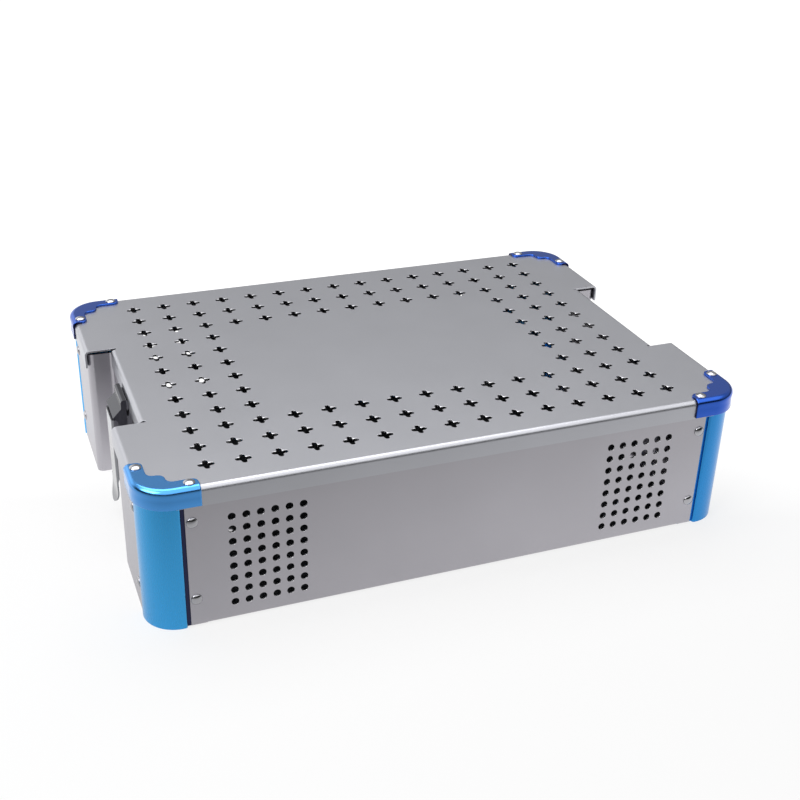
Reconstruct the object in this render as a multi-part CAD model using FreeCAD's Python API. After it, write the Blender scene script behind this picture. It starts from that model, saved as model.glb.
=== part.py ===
import FreeCAD, Part
import math
import os

# Sterilization container with a lift-off lid and a draw latch at each end.
# Millimetres. Origin on the floor under the middle of the case, +X along the long side,
# +Y to the back, +Z up. The ends of the case face -X and +X.

Vector = FreeCAD.Vector
X = Vector(1, 0, 0)
Y = Vector(0, 1, 0)
Z = Vector(0, 0, 1)
ORIGIN = Vector(0, 0, 0)

# Case of folded aluminium sheet
case_length = 458.4        # over the outer faces of the end panels
case_width = 322.2         # over the outer faces of the front and back panels
case_height = 110.0        # floor to the tops of the corner posts, on which the lid rests
case_sheet = 1.5
case_bend = 2.5            # outer radius of the bend along the bottom
panel_setback = 28.3       # from a case corner to the upright edge of a panel
return_flange = 14.0       # inward fold along the bottom of the front and back panels

# Recess in the middle of each end, for the latch and for the fingers
recess_width = 132.0
recess_depth = 20.0
recess_outer_bend = 5.0
recess_inner_bend = 3.0

# Vents in the front and back panels
vent_diameter = 5.0
vent_sides = 4             # a vent is cut as a square of the same area, which keeps the sheet light
vent_pitch = 10.0
vent_columns = 6
vent_rows = 8
vent_group_middle = 144.5  # from the middle of the panel to the middle of a group
vent_top_row = 26.35       # from the tops of the posts to the top row

# Corner posts, an open extrusion with a quarter-round face
post_proud = 0.8           # post face in front of the panel face
post_face = 26.6           # width of each of its two faces, over the round
post_round = 24.0
post_wall = 2.0
post_edge_round = 1.8
post_lap = 11.0            # how far its flange reaches behind a panel

# Base plate and the silicone mat on it
base_flange = 12.0         # upturned edge against the recess wall
base_flange_run = 110.0
base_clearance = 0.3
drain_diameter = 8.0       # holes through the base plate and the mat
drain_sides = 6
drain_columns = 4
drain_rows = 2
drain_pitch_x = 100.0
drain_pitch_y = 120.0
mat_margin = 5.0           # from the mat to the recess walls and to the long panels
mat_thickness = 2.0
mat_rib_height = 3.0
mat_rib_width = 4.0
mat_rib_pitch = 50.0
mat_ribs = 8
mat_rib_inset = 8.0        # from the end of a rib to the edge of the mat

# Lid
lid_gap = 0.3              # lid flange to case panel
lid_sheet = 1.5
lid_flange = 14.5          # lid top to the lower edge of the flange
lid_bend = 3.75
lid_notch_width = 129.0
lid_notch_relief = 2.5     # from the end of the notch flange to the side of the notch
lid_flange_stop = 30.0     # from a lid corner to the end of a flange
lid_corner_round = 20.0

# Cross-shaped holes in the lid, in rings around a plain middle
cross_span = 12.0
cross_arm = 4.6
cross_columns = 15
cross_rows = 12
cross_rings = 3
cross_pitch_x = 25.65
cross_pitch_y = 24.65

# Corner brackets of the lid
bracket_wall = 1.5
bracket_drop = 13.5        # lid top to the lower edge of the skirt
bracket_leg = 43.2
bracket_leg_width = 12.2
bracket_lobe = 23.2        # from the outer faces to the inner corner
bracket_lobe_round = 5.5
bracket_fillet = 5.0
bracket_tip_round = 4.5

# Rivets of the panels and brackets, closed flush on the inside
rivet_head = 8.0
rivet_flat = 5.2           # flat on top of the head
rivet_rise = 1.8
rivet_shank = 4.0
rivet_sides = 6
panel_rivet_inset = 4.7    # from the upright edge of the panel
panel_rivet_low = 22.0
panel_rivet_drop = 25.8    # from the tops of the posts to the upper rivets
bracket_rivet_inset = 7.2  # from the outer face of the bracket
bracket_rivet_from_tip = 6.4

# Draw latch, one in each recess. Its heights hang from the top of the case,
# and a reach is outward from the outer face of the recess wall.
latch_sheet = 1.5
latch_gap = 0.3            # between parts that slide past each other
latch_base_foot_drop = 64.0
latch_base_top_drop = 16.0
latch_ear = 5.0            # radius of the ears around the hinge pin
lever_width = 26.0
lever_sheet = 1.2
lever_top_drop = 21.5
lever_bottom_drop = 97.5
lever_reach = 15.3         # outer face of the lever
lever_bend = 2.0
lever_hub = 6.0            # radius of the cheeks around the hinge pin
lever_cheek_drop = 76.0    # where the cheeks run out
lever_curl_drop = 80.0     # where the finger tab starts to bend away
lever_curl = 2.6
lever_curl_round = 30.0
hinge_drop = 25.0
hinge_reach = 8.3
hinge_diameter = 4.0
claw_pin_drop = 34.5
claw_pin_reach = 6.8
claw_pin_diameter = 3.0
claw_pin_head = 5.0
claw_pin_head_height = 1.2
running_fit = 0.05
claw_eye = 3.2             # radius of the claw arms around their pin
claw_sheet = 1.5
claw_bend = 0.6
claw_lip = 2.7             # length of the hook lip over the strike
claw_knee_drop = 12.5      # where the upright part meets the sloping plate
claw_skirt_reach = 13.0    # lower edge of the sloping plate
claw_skirt_drop = 19.8
strike_width = 24.0
strike_sheet = 1.2
strike_foot_drop = 15.0
strike_top_drop = 6.8
strike_ledge = 2.4         # how far the ledge stands out from the strike plate
small_rivet_head = 5.6
small_rivet_flat = 3.8
small_rivet_rise = 1.0
small_rivet_shank = 3.0
base_rivet_drops = (49.0, 59.0)
base_rivet_spread = 11.0
strike_rivet_drop = 11.4
strike_rivet_spread = 16.0

# Places that follow from the sizes above
panel_x = case_length / 2
panel_y = case_width / 2
inner_x = panel_x - case_sheet
inner_y = panel_y - case_sheet
edge_x = panel_x - panel_setback
edge_y = panel_y - panel_setback
recess_x = panel_x - recess_depth
recess_y = recess_width / 2
post_x = panel_x + post_proud
post_y = panel_y + post_proud
post_tip_x = edge_x - post_lap
post_tip_y = edge_y - post_lap
lid_x = panel_x + lid_gap + lid_sheet
lid_y = panel_y + lid_gap + lid_sheet
lid_top = case_height + lid_sheet
panel_top = case_height - (lid_bend - lid_sheet) - lid_gap
notch_x = recess_x + lid_gap + lid_sheet
notch_y = lid_notch_width / 2
bracket_x = lid_x + bracket_wall
bracket_y = lid_y + bracket_wall
bracket_round = post_round + lid_gap + bracket_wall
lever_side = lever_width / 2
ear_side = lever_side - lever_sheet - latch_gap
arm_side = lever_side + latch_gap + claw_sheet
strike_face = notch_x + strike_sheet
latch_base_low = case_height - latch_base_foot_drop
latch_base_high = case_height - latch_base_top_drop
lever_top = case_height - lever_top_drop
lever_bottom = case_height - lever_bottom_drop
lever_cheek_low = case_height - lever_cheek_drop
lever_curl_high = case_height - lever_curl_drop
hinge_height = case_height - hinge_drop
claw_pin_height = case_height - claw_pin_drop
claw_knee_height = case_height - claw_knee_drop
claw_skirt_height = case_height - claw_skirt_drop
strike_low = case_height - strike_foot_drop
strike_high = case_height - strike_top_drop
strike_rivet_height = case_height - strike_rivet_drop
panel_rivet_heights = (panel_rivet_low, case_height - panel_rivet_drop)
base_rivet_heights = [case_height - drop for drop in base_rivet_drops]
hinge = Vector(recess_x + hinge_reach, 0, hinge_height)
claw_pin_place = Vector(recess_x + claw_pin_reach, 0, claw_pin_height)


def rounded_edges(points, radii):
    """Edges along the points, with an arc of the given radius at each inner point."""
    edges = []
    start = points[0]
    for before, corner, after, radius in zip(points, points[1:], points[2:], radii):
        into = (corner - before).normalize()
        out_of = (after - corner).normalize()
        turn = into.getAngle(out_of)
        if turn < 1e-6:
            continue
        if radius <= 0:
            edges.append(Part.LineSegment(start, corner).toShape())
            start = corner
            continue
        trim = radius * math.tan(turn / 2)
        arc_start = corner - into * trim
        arc_end = corner + out_of * trim
        to_centre = (out_of - into).normalize()
        arc_middle = corner + to_centre * (radius / math.cos(turn / 2) - radius)
        if start.distanceToPoint(arc_start) > 1e-6:
            edges.append(Part.LineSegment(start, arc_start).toShape())
        edges.append(Part.Arc(arc_start, arc_middle, arc_end).toShape())
        start = arc_end
    if start.distanceToPoint(points[-1]) > 1e-6:
        edges.append(Part.LineSegment(start, points[-1]).toShape())
    return edges


def bent_strip(points, radii, thickness, normal):
    """Section of a bent sheet: one side follows the points, the other lies to the left of it."""
    ways = [(b - a).normalize() for a, b in zip(points, points[1:])]
    lefts = [normal.cross(way) for way in ways]
    other = [points[0] + lefts[0] * thickness]
    other_radii = []
    for index, radius in enumerate(radii):
        left, next_left = lefts[index], lefts[index + 1]
        shift = (left + next_left) * (thickness / (1 + left.dot(next_left)))
        other.append(points[index + 1] + shift)
        turns_left = normal.dot(ways[index].cross(ways[index + 1])) > 0
        inner = max(radius - thickness, 0)
        outer = radius + thickness if radius > 0 else 0
        other_radii.append(inner if turns_left else outer)
    other.append(points[-1] + lefts[-1] * thickness)
    far_cap = Part.LineSegment(points[-1], other[-1]).toShape()
    near_cap = Part.LineSegment(other[0], points[0]).toShape()
    side = rounded_edges(points, radii)
    back = rounded_edges(other[::-1], other_radii[::-1])
    return Part.Face(Part.Wire(side + [far_cap] + back + [near_cap]))


def outline_face(points, radii):
    """Closed outline with a radius at each corner."""
    middle = (points[-1] + points[0]) * 0.5
    return Part.Face(Part.Wire(rounded_edges([middle] + points + [middle], radii)))


def turned(shape, angle):
    """Copy of the shape turned about the upright axis of the case."""
    copy = shape.copy()
    copy.rotate(ORIGIN, Z, angle)
    return copy


def mirrored(shape, normal):
    """Copy of the shape mirrored about a middle plane of the case."""
    return shape.mirror(ORIGIN, normal)


def joined(shapes):
    """One clean solid from touching shapes."""
    return shapes[0].fuse(shapes[1:]).removeSplitter()


def group(shapes):
    """Several separate solids in one piece of the assembly."""
    solids = []
    for shape in shapes:
        solids.extend(shape.Solids)
    return Part.makeCompound(solids)


def cut_all(shape, tools):
    return shape.cut(Part.makeCompound(tools))


def ring(diameter, sides, place, axis):
    """Corners of a polygon of the same area as a circle, square to an axis."""
    turn = 2 * math.pi / sides
    reach = diameter / 2 * math.sqrt(turn / math.sin(turn))
    rotation = FreeCAD.Rotation(Z, axis)
    corners = []
    for index in range(sides):
        angle = (index + 0.5) * turn
        spot = Vector(reach * math.cos(angle), reach * math.sin(angle), 0)
        corners.append(place + rotation.multVec(spot))
    return corners


def flat_face(corners):
    return Part.Face(Part.makePolygon(corners + corners[:1]))


def prism(diameter, sides, place, axis, depth):
    """Prism that stands in for a small round bar or hole."""
    return flat_face(ring(diameter, sides, place, axis)).extrude(axis * depth)


def frustum(low, high):
    """Solid between two rings with the same number of corners."""
    faces = [flat_face(low), flat_face(high)]
    for index in range(len(low)):
        faces.append(flat_face([low[index - 1], low[index], high[index], high[index - 1]]))
    return Part.makeSolid(Part.makeShell(faces))


def rivet(place, outward, grip, head, flat, rise, shank):
    """Rivet with a low faceted head on the sheet and a shank that ends flush behind it."""
    foot = ring(head, rivet_sides, place, outward)
    top = ring(flat, rivet_sides, place + outward * rise, outward)
    bar = prism(shank, rivet_sides, place - outward * grip, outward, grip)
    return joined([frustum(foot, top), bar])


def rivet_hole(place, outward, grip, shank):
    """Cutting tool for the shank of a rivet."""
    return prism(shank, rivet_sides, place - outward * (grip + 1), outward, grip + 2)


def pin_hole(place, diameter):
    """Cutting tool for a cross pin that runs along Y."""
    return Part.makeCylinder(diameter / 2, 2 * lever_width, place - Y * lever_width, Y)


def panel_rivet_places():
    """Places and outward directions of the rivets along the upright edges of all panels."""
    along_x = edge_x - panel_rivet_inset
    along_y = edge_y - panel_rivet_inset
    places = []
    for height in panel_rivet_heights:
        for a in (-1, 1):
            for b in (-1, 1):
                places.append((Vector(a * along_x, b * panel_y, height), Y * b))
                places.append((Vector(a * panel_x, b * along_y, height), X * a))
    return places


def bracket_rivet_places():
    """Places of the two rivets in each lid bracket."""
    near_x = bracket_x - bracket_rivet_inset
    near_y = bracket_y - bracket_rivet_inset
    far_x = bracket_x - bracket_leg + bracket_rivet_from_tip
    far_y = bracket_y - bracket_leg + bracket_rivet_from_tip
    height = lid_top + bracket_wall
    places = []
    for a in (-1, 1):
        for b in (-1, 1):
            places.append(Vector(a * far_x, b * near_y, height))
            places.append(Vector(a * near_x, b * far_y, height))
    return places


def base_rivet_places():
    reach = recess_x + latch_sheet
    sides = (-base_rivet_spread / 2, base_rivet_spread / 2)
    return [Vector(reach, y, z) for z in base_rivet_heights for y in sides]


def strike_rivet_places():
    sides = (-strike_rivet_spread / 2, strike_rivet_spread / 2)
    return [Vector(strike_face, y, strike_rivet_height) for y in sides]


def panel_rivet_holes():
    grip = case_sheet + post_wall
    return [rivet_hole(place, way, grip, rivet_shank) for place, way in panel_rivet_places()]


def bracket_rivet_holes():
    grip = bracket_wall + lid_sheet
    return [rivet_hole(place, Z, grip, rivet_shank) for place in bracket_rivet_places()]


def vent_holes():
    tools = []
    top = case_height - vent_top_row
    for group_middle in (-vent_group_middle, vent_group_middle):
        for column in range(vent_columns):
            x = group_middle + (column - (vent_columns - 1) / 2) * vent_pitch
            for row in range(vent_rows):
                place = Vector(x, inner_y - 1, top - row * vent_pitch)
                tools.append(prism(vent_diameter, vent_sides, place, Y, case_sheet + 2))
    return tools


def long_panel():
    """Back panel: wall with two groups of vents and an inward fold along its lower edge."""
    fold_half = post_tip_x - base_clearance
    points = [
        Vector(panel_y, 0, panel_top),
        Vector(panel_y, 0, 0),
        Vector(panel_y - return_flange, 0, 0),
    ]
    section = bent_strip(points, [case_bend], case_sheet, Y)
    section.translate(Vector(0, -fold_half, 0))
    pieces = [turned(section.extrude(Vector(0, 2 * fold_half, 0)), 90)]
    for start in (-edge_x, fold_half):
        wing = Part.makeBox(edge_x - fold_half, case_sheet, panel_top)
        wing.translate(Vector(start, inner_y, 0))
        pieces.append(wing)
    return cut_all(joined(pieces), vent_holes())


def end_panel():
    """Right end panel: one sheet bent four times around the recess."""
    points = [
        Vector(panel_x, -edge_y, 0),
        Vector(panel_x, -recess_y, 0),
        Vector(recess_x, -recess_y, 0),
        Vector(recess_x, recess_y, 0),
        Vector(panel_x, recess_y, 0),
        Vector(panel_x, edge_y, 0),
    ]
    radii = [recess_outer_bend, recess_inner_bend, recess_inner_bend, recess_outer_bend]
    panel = bent_strip(points, radii, case_sheet, Z).extrude(Vector(0, 0, panel_top))
    grip = latch_sheet + case_sheet
    holes = [rivet_hole(place, X, grip, small_rivet_shank) for place in base_rivet_places()]
    return cut_all(panel, holes)


def corner_post():
    """Post of the back right corner: quarter-round face with a lower, stepped flange behind each panel."""
    step_x = post_x - post_face
    step_y = post_y - post_face
    points = [
        Vector(inner_x, post_tip_y, 0),
        Vector(inner_x, step_y, 0),
        Vector(post_x, step_y, 0),
        Vector(post_x, post_y, 0),
        Vector(step_x, post_y, 0),
        Vector(step_x, inner_y, 0),
        Vector(post_tip_x, inner_y, 0),
    ]
    radii = [0, post_edge_round, post_round, post_edge_round, 0]
    post = bent_strip(points, radii, post_wall, Z).extrude(Vector(0, 0, case_height))
    notch_x_end = lid_x - lid_flange_stop + lid_gap
    notch_y_end = lid_y - lid_flange_stop + lid_gap
    for end_x, end_y in ((notch_x_end, panel_y), (panel_x, notch_y_end)):
        notch = Part.makeBox(end_x, end_y, case_height)
        notch.translate(Vector(0, 0, panel_top))
        post = post.cut(notch)
    return post


def cross_hole(place, depth):
    """Cutting tool for one cross-shaped hole in a level sheet."""
    span = cross_span / 2
    arm = cross_arm / 2
    quarter = [Vector(span, -arm, 0), Vector(span, arm, 0), Vector(arm, arm, 0)]
    corners = []
    for index in range(4):
        rotation = FreeCAD.Rotation(Z, 90 * index)
        corners.extend([place + rotation.multVec(corner) for corner in quarter])
    return flat_face(corners).extrude(Z * depth)


def drain_holes():
    """Cutting tools for the holes through the base plate and the mat."""
    tools = []
    for column in range(drain_columns):
        for row in range(drain_rows):
            x = (column - (drain_columns - 1) / 2) * drain_pitch_x
            y = (row - (drain_rows - 1) / 2) * drain_pitch_y
            tools.append(prism(drain_diameter, drain_sides, Vector(x, y, -1), Z, 3 * mat_thickness))
    return tools


def base_plate():
    """Floor of the case on the folds of the long panels, turned up against the recess walls."""
    wall_x = recess_x - case_sheet
    flat_x = wall_x - case_bend
    side_y = recess_y + case_sheet + base_clearance
    far_x = inner_x - post_wall - base_clearance
    far_y = inner_y - post_wall - base_clearance
    quarter = [Vector(flat_x, side_y, 0), Vector(far_x, side_y, 0), Vector(far_x, far_y, 0)]
    bend = recess_outer_bend - case_sheet
    radii = [0, bend, post_round - post_wall]
    half = quarter + [Vector(-p.x, p.y, 0) for p in reversed(quarter)]
    points = half + [Vector(-p.x, -p.y, 0) for p in half]
    half_radii = radii + radii[::-1]
    plate = outline_face(points, half_radii + half_radii).extrude(Vector(0, 0, case_sheet))
    fold = [Vector(flat_x, 0, 0), Vector(wall_x, 0, 0), Vector(wall_x, 0, base_flange)]
    section = bent_strip(fold, [case_bend], case_sheet, -Y)
    section.translate(Vector(0, -base_flange_run / 2, 0))
    flange = section.extrude(Vector(0, base_flange_run, 0))
    plate = joined([plate, flange, mirrored(flange, X)])
    plate = cut_all(plate, drain_holes())
    plate.translate(Vector(0, 0, case_sheet))
    return plate


def silicone_mat():
    """Ribbed mat that lies loose on the base plate, between the two recess walls."""
    half_x = recess_x - case_sheet - mat_margin
    half_y = inner_y - mat_margin
    corners = [
        Vector(half_x, half_y, 0),
        Vector(-half_x, half_y, 0),
        Vector(-half_x, -half_y, 0),
        Vector(half_x, -half_y, 0),
    ]
    pieces = [outline_face(corners, [mat_margin] * 4).extrude(Vector(0, 0, mat_thickness))]
    rib_half = half_y - mat_rib_inset
    for index in range(mat_ribs):
        x = (index - (mat_ribs - 1) / 2) * mat_rib_pitch
        rib = Part.makeBox(mat_rib_width, 2 * rib_half, mat_rib_height)
        rib.translate(Vector(x - mat_rib_width / 2, -rib_half, mat_thickness))
        pieces.append(rib)
    mat = cut_all(joined(pieces), drain_holes())
    mat.translate(Vector(0, 0, 2 * case_sheet))
    return mat


def lid_edge(reach, centre, run, angle):
    """Bend and downward flange along one straight edge of the lid, turned to its side."""
    points = [
        Vector(reach - lid_bend, 0, lid_top),
        Vector(reach, 0, lid_top),
        Vector(reach, 0, lid_top - lid_flange),
    ]
    section = bent_strip(points, [lid_bend], lid_sheet, Y)
    section.translate(Vector(0, centre - run / 2, 0))
    return turned(section.extrude(Vector(0, run, 0)), angle)


def lid_sheet_part():
    """Lid: top with rings of crosses, a notch over each recess, and a flange along each edge."""
    flat_x = lid_x - lid_bend
    flat_y = lid_y - lid_bend
    flat_notch = notch_x - lid_bend
    quarter = [Vector(flat_notch, notch_y, 0), Vector(flat_x, notch_y, 0), Vector(flat_x, flat_y, 0)]
    radii = [0, 0, lid_corner_round]
    half = quarter + [Vector(-p.x, p.y, 0) for p in reversed(quarter)]
    points = half + [Vector(-p.x, -p.y, 0) for p in half]
    half_radii = radii + radii[::-1]
    top = outline_face(points, half_radii + half_radii).extrude(Vector(0, 0, lid_sheet))
    top.translate(Vector(0, 0, case_height))
    side_end = lid_y - lid_flange_stop
    side_run = side_end - notch_y
    side_middle = (side_end + notch_y) / 2
    notch_run = lid_notch_width - 2 * lid_notch_relief
    long_run = 2 * (lid_x - lid_flange_stop)
    pieces = [top]
    for angle in (0, 180):
        pieces.append(lid_edge(lid_x, side_middle, side_run, angle))
        pieces.append(lid_edge(lid_x, -side_middle, side_run, angle))
        pieces.append(lid_edge(notch_x, 0, notch_run, angle))
        pieces.append(lid_edge(lid_y, 0, long_run, angle + 90))
    tools = bracket_rivet_holes()
    for place in strike_rivet_places():
        tool = rivet_hole(place, X, strike_sheet + lid_sheet, small_rivet_shank)
        tools.extend([tool, mirrored(tool, X)])
    for column in range(cross_columns):
        for row in range(cross_rows):
            ring = min(column, row, cross_columns - 1 - column, cross_rows - 1 - row)
            if ring >= cross_rings:
                continue
            x = (column - (cross_columns - 1) / 2) * cross_pitch_x
            y = (row - (cross_rows - 1) / 2) * cross_pitch_y
            tools.append(cross_hole(Vector(x, y, case_height - 1), lid_sheet + 2))
    return cut_all(joined(pieces), tools)


def lid_bracket():
    """Bracket of the back right lid corner: plate with an inner lobe, and a skirt around the corner."""
    tip_x = bracket_x - bracket_leg
    tip_y = bracket_y - bracket_leg
    leg_x = bracket_x - bracket_leg_width
    leg_y = bracket_y - bracket_leg_width
    lobe_x = bracket_x - bracket_lobe
    lobe_y = bracket_y - bracket_lobe
    points = [
        Vector(tip_x, bracket_y, 0),
        Vector(tip_x, leg_y, 0),
        Vector(lobe_x, leg_y, 0),
        Vector(lobe_x, lobe_y, 0),
        Vector(leg_x, lobe_y, 0),
        Vector(leg_x, tip_y, 0),
        Vector(bracket_x, tip_y, 0),
        Vector(bracket_x, bracket_y, 0),
    ]
    tip = bracket_tip_round
    fillet = bracket_fillet
    radii = [0, tip, fillet, bracket_lobe_round, fillet, tip, 0, bracket_round]
    plate = outline_face(points, radii).extrude(Vector(0, 0, bracket_wall))
    plate.translate(Vector(0, 0, lid_top))
    edge = [points[6], points[7], points[0]]
    skirt = bent_strip(edge, [bracket_round], bracket_wall, Z)
    skirt = skirt.extrude(Vector(0, 0, bracket_drop + bracket_wall))
    skirt.translate(Vector(0, 0, lid_top - bracket_drop))
    return cut_all(joined([plate, skirt]), bracket_rivet_holes())


def latch_base():
    """Plate on the recess wall with two ears that hold the hinge pin."""
    width = 2 * ear_side
    plate = Part.makeBox(latch_sheet, width, latch_base_high - latch_base_low)
    plate.translate(Vector(recess_x, -ear_side, latch_base_low))
    pieces = [plate]
    for side in (-ear_side, ear_side - latch_sheet):
        box = Part.makeBox(hinge_reach, latch_sheet, 2 * latch_ear)
        box.translate(Vector(recess_x, side, hinge_height - latch_ear))
        nose = Part.makeCylinder(latch_ear, latch_sheet, hinge + Y * side, Y)
        pieces.extend([box, nose])
    base = joined(pieces)
    grip = latch_sheet + case_sheet
    tools = [rivet_hole(place, X, grip, small_rivet_shank) for place in base_rivet_places()]
    return cut_all(base, tools + [pin_hole(hinge, hinge_diameter)])


def side_outline(corners, radii):
    """Face in the upright middle plane from pairs of reach and height."""
    points = [Vector(recess_x + reach, 0, height) for reach, height in corners]
    return outline_face(points, radii)


def lever():
    """Latch lever: channel with two cheeks, and a finger tab that bends away at the lower end."""
    web = lever_reach - lever_sheet
    section = [
        Vector(recess_x, -lever_side, lever_curl_high),
        Vector(recess_x + lever_reach, -lever_side, lever_curl_high),
        Vector(recess_x + lever_reach, lever_side, lever_curl_high),
        Vector(recess_x, lever_side, lever_curl_high),
    ]
    channel = bent_strip(section, [lever_bend, lever_bend], lever_sheet, Z)
    channel = channel.extrude(Vector(0, 0, lever_top - lever_curl_high))
    hub_low = hinge_reach - lever_hub
    corners = [
        (lever_reach, lever_top),
        (hinge_reach + 2, hinge_height + lever_hub),
        (hub_low, hinge_height + lever_hub),
        (hub_low + 0.2, claw_pin_height - 8),
        (web, lever_cheek_low),
        (web, lever_curl_high),
        (lever_reach, lever_curl_high),
    ]
    radii = [0, 4, lever_hub, 6, 6, 0, 0]
    outline = side_outline(corners, radii).extrude(Y * lever_width)
    outline.translate(-Y * lever_side)
    channel = channel.common(outline)
    curl = [
        Vector(recess_x + lever_reach, 0, lever_curl_high),
        Vector(recess_x + lever_reach, 0, (lever_curl_high + lever_bottom) / 2),
        Vector(recess_x + lever_reach + lever_curl, 0, lever_bottom),
    ]
    tab = bent_strip(curl, [lever_curl_round], lever_sheet, Y)
    tab.translate(-Y * lever_side)
    tab = tab.extrude(Y * lever_width)
    high = lever_curl_high + 1
    shape = [
        Vector(recess_x, -lever_side, high),
        Vector(recess_x, -lever_side, lever_bottom),
        Vector(recess_x, lever_side, lever_bottom),
        Vector(recess_x, lever_side, high),
    ]
    round_end = lever_side - 0.01
    cutter = outline_face(shape, [0, round_end, round_end, 0]).extrude(X * 2 * recess_depth)
    lever_shape = joined([channel, tab.common(cutter)])
    tools = [pin_hole(hinge, hinge_diameter + 2 * running_fit), pin_hole(claw_pin_place, claw_pin_diameter)]
    return cut_all(lever_shape, tools)


def hinge_pin():
    return Part.makeCylinder(hinge_diameter / 2, lever_width, hinge - Y * lever_side, Y)


def claw_pin():
    """Pin through the lever cheeks and the claw arms, with a flat head at each end."""
    reach = arm_side + latch_gap
    bar = Part.makeCylinder(claw_pin_diameter / 2, 2 * reach, claw_pin_place - Y * reach, Y)
    pieces = [bar]
    for start in (-reach - claw_pin_head_height, reach):
        place = claw_pin_place + Y * start
        pieces.append(prism(claw_pin_head, rivet_sides, place, Y, claw_pin_head_height))
    return joined(pieces)


def claw():
    """Claw: bent plate with a lip over the strike, and an arm down to the claw pin on each side."""
    lip_height = strike_high + latch_gap
    lip_in = strike_face + latch_gap - recess_x
    lip_out = lip_in + claw_lip
    points = [
        Vector(recess_x + lip_in, 0, lip_height),
        Vector(recess_x + lip_out, 0, lip_height),
        Vector(recess_x + lip_out, 0, claw_knee_height),
        Vector(recess_x + claw_skirt_reach, 0, claw_skirt_height),
    ]
    plate = bent_strip(points, [claw_bend, claw_bend], claw_sheet, -Y)
    plate.translate(-Y * arm_side)
    plate = plate.extrude(Y * 2 * arm_side)
    eye = claw_eye
    corners = [
        (claw_pin_reach + eye, claw_pin_height - eye),
        (claw_pin_reach + eye, claw_skirt_height - eye),
        (claw_skirt_reach, claw_skirt_height),
        (lip_out, claw_knee_height),
        (lip_out, lip_height),
        (claw_pin_reach - eye, lip_height),
        (claw_pin_reach - eye, claw_pin_height - eye),
    ]
    arm = side_outline(corners, [eye, 0, 0, 0, 0, 0, eye]).extrude(Y * claw_sheet)
    arms = []
    for start in (-arm_side, arm_side - claw_sheet):
        copy = arm.copy()
        copy.translate(Y * start)
        arms.append(copy)
    shape = joined([plate] + arms)
    return shape.cut(pin_hole(claw_pin_place, claw_pin_diameter + 2 * running_fit))


def strike():
    """Angle on the notch flange of the lid, with a ledge for the lip of the claw."""
    points = [
        Vector(notch_x, 0, strike_low),
        Vector(notch_x, 0, strike_high),
        Vector(strike_face + strike_ledge, 0, strike_high),
    ]
    shape = bent_strip(points, [strike_sheet], strike_sheet, Y)
    shape.translate(-Y * strike_width / 2)
    shape = shape.extrude(Y * strike_width)
    grip = strike_sheet + lid_sheet
    tools = [rivet_hole(place, X, grip, small_rivet_shank) for place in strike_rivet_places()]
    return cut_all(shape, tools)


def small_rivets(places, grip):
    sizes = (small_rivet_head, small_rivet_flat, small_rivet_rise, small_rivet_shank)
    return group([rivet(place, X, grip, *sizes) for place in places])


def big_rivets(places, grip):
    sizes = (rivet_head, rivet_flat, rivet_rise, rivet_shank)
    return group([rivet(place, way, grip, *sizes) for place, way in places])


def export(name, shape):
    shape.exportStep("parts/" + name + ".step")


os.makedirs("parts", exist_ok=True)

back_panel = cut_all(long_panel(), panel_rivet_holes())
export("back_panel", back_panel)
export("front_panel", mirrored(back_panel, Y))
export("base_plate", base_plate())
export("silicone_mat", silicone_mat())
export("lid_sheet", lid_sheet_part())

posts = cut_all(corner_post(), panel_rivet_holes())
bracket = lid_bracket()
for side_x, mirror_x in (("right", False), ("left", True)):
    for side_y, mirror_y in (("back", False), ("front", True)):
        for kind, shape in (("post", posts), ("bracket", bracket)):
            copy = mirrored(shape, X) if mirror_x else shape
            copy = mirrored(copy, Y) if mirror_y else copy
            export(side_y + "_" + side_x + "_" + kind, copy)

export("panel_rivets", big_rivets(panel_rivet_places(), case_sheet + post_wall))
bracket_places = [(place, Z) for place in bracket_rivet_places()]
export("bracket_rivets", big_rivets(bracket_places, bracket_wall + lid_sheet))

end_pieces = {
    "end_panel": cut_all(end_panel(), panel_rivet_holes()),
    "latch_base": latch_base(),
    "latch_rivets": small_rivets(base_rivet_places(), latch_sheet + case_sheet),
    "hinge_pin": hinge_pin(),
    "lever": lever(),
    "claw_pin": claw_pin(),
    "claw": claw(),
    "strike": strike(),
    "strike_rivets": small_rivets(strike_rivet_places(), strike_sheet + lid_sheet),
}
for name, shape in end_pieces.items():
    export("right_" + name, shape)
    export("left_" + name, mirrored(shape, X))
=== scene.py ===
import math

import bmesh
import bpy
from mathutils import Matrix, Vector


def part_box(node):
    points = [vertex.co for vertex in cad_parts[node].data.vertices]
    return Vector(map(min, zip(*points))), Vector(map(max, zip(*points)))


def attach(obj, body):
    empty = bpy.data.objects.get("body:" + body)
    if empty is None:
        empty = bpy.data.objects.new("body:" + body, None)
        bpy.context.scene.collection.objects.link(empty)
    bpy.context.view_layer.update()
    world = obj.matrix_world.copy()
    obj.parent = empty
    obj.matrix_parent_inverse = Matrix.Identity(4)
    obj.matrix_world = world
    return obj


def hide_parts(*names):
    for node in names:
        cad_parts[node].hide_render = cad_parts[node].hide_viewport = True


# Sterilization container: folded aluminium case with blue corner posts, lift-off lid with
# cross-shaped holes, and a steel draw latch in each end. Lengths are in millimetres, apart from
# those of the lights, the camera and the fading floor, which are in metres.

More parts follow.
